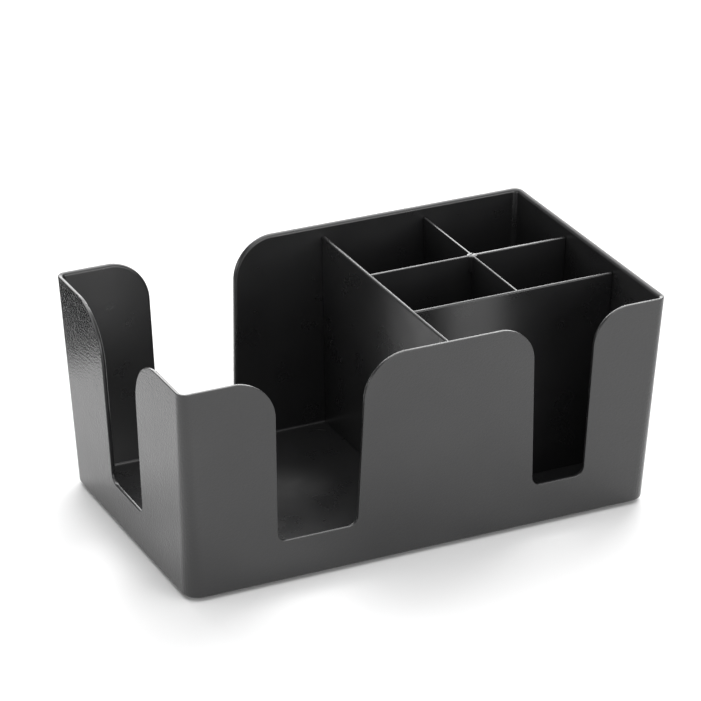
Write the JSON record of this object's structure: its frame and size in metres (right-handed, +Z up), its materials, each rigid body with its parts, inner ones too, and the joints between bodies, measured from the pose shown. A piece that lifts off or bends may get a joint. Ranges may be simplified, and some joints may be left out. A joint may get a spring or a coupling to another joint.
{
  "type": "bar caddy",
  "caption": "Open black napkin and straw caddy with leaning walls, finger notches, a lift-out divider insert and rubber feet.",
  "frame": {"origin": "middle of the footprint, on the table under the feet", "axes": "+X along the length towards the divided end, -Y towards the front wall with two notches, +Z up"},
  "size_m": [0.2418, 0.1458, 0.1056],
  "materials": {
    "body_black": "satin moulded black with a fine grain",
    "insert_black": "satin moulded black",
    "foot_rubber": "matt rubber"
  },
  "bodies": {
    "tray": {"caddy_body": "body_black", "foot_front_left": "foot_rubber", "foot_front_right": "foot_rubber", "foot_back_left": "foot_rubber", "foot_back_right": "foot_rubber"},
    "insert": {"divider_insert": "insert_black"}
  },
  "joints": [
    {"name": "insert_lift", "type": "slide", "parent": "tray", "child": "insert", "axis": [0, 0, 1], "range_m": [0, 0.11]}
  ]
}
